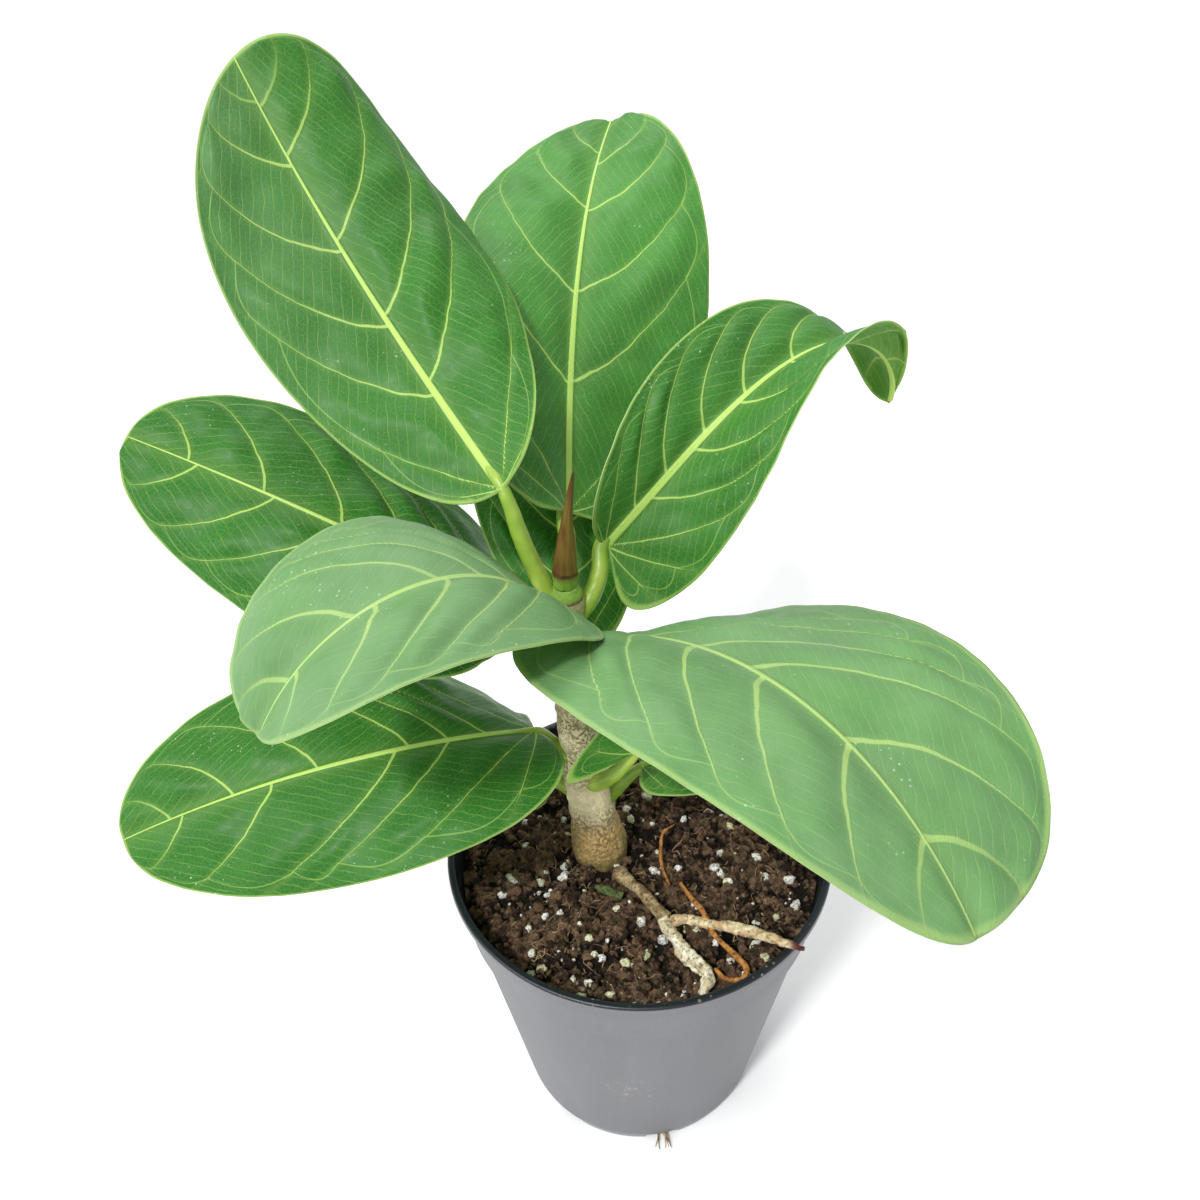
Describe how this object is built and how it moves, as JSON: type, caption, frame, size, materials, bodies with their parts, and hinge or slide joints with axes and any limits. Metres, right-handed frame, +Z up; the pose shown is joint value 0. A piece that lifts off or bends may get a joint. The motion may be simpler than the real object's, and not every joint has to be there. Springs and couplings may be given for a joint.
{
  "type": "potted bengal fig",
  "caption": "Young woody fig with broad glossy leaves on an upright stem, rooted in soil in a round tapered nursery pot with drain notches; a decorative houseplant.",
  "frame": {"origin": "centre of the pot's foot, on the plane the pot stands on", "axes": "+Z up along the pot's axis; -Y towards the front, the side the pot and plant are usually seen from; +X to the viewer's right"},
  "size_m": [0.232, 0.2514, 0.3199],
  "materials": {
    "pot_plastic": "satin moulded grey",
    "soil": "loose damp peat with pale grit",
    "bark": "young beige bark",
    "leaf_skin": "waxy satin green with pale veins",
    "sheath_skin": "glossy reddish brown",
    "root_skin": "tan root skin",
    "root_pale": "whitish young root",
    "root_orange": "orange young root",
    "root_green": "mossy green"
  },
  "bodies": {
    "root": {"pot": "pot_plastic", "soil": "soil", "trunk": "bark", "leaf_tall_left": "leaf_skin", "leaf_tall_back": "leaf_skin", "leaf_curled_right": "leaf_skin", "leaf_side_left": "leaf_skin", "leaf_front_left": "leaf_skin", "leaf_front_right": "leaf_skin", "leaf_middle_back": "leaf_skin", "leaf_low_left": "leaf_skin", "leaf_low_front": "leaf_skin", "leaf_low_right": "leaf_skin", "leaf_low_back": "leaf_skin", "growing_tip_sheath": "sheath_skin", "root_main": "root_skin", "root_fork": "root_pale", "root_side": "root_skin", "root_loop": "root_orange", "root_thin": "root_orange", "root_green_stub": "root_green", "root_at_drain": "root_pale"}
  },
  "joints": []
}
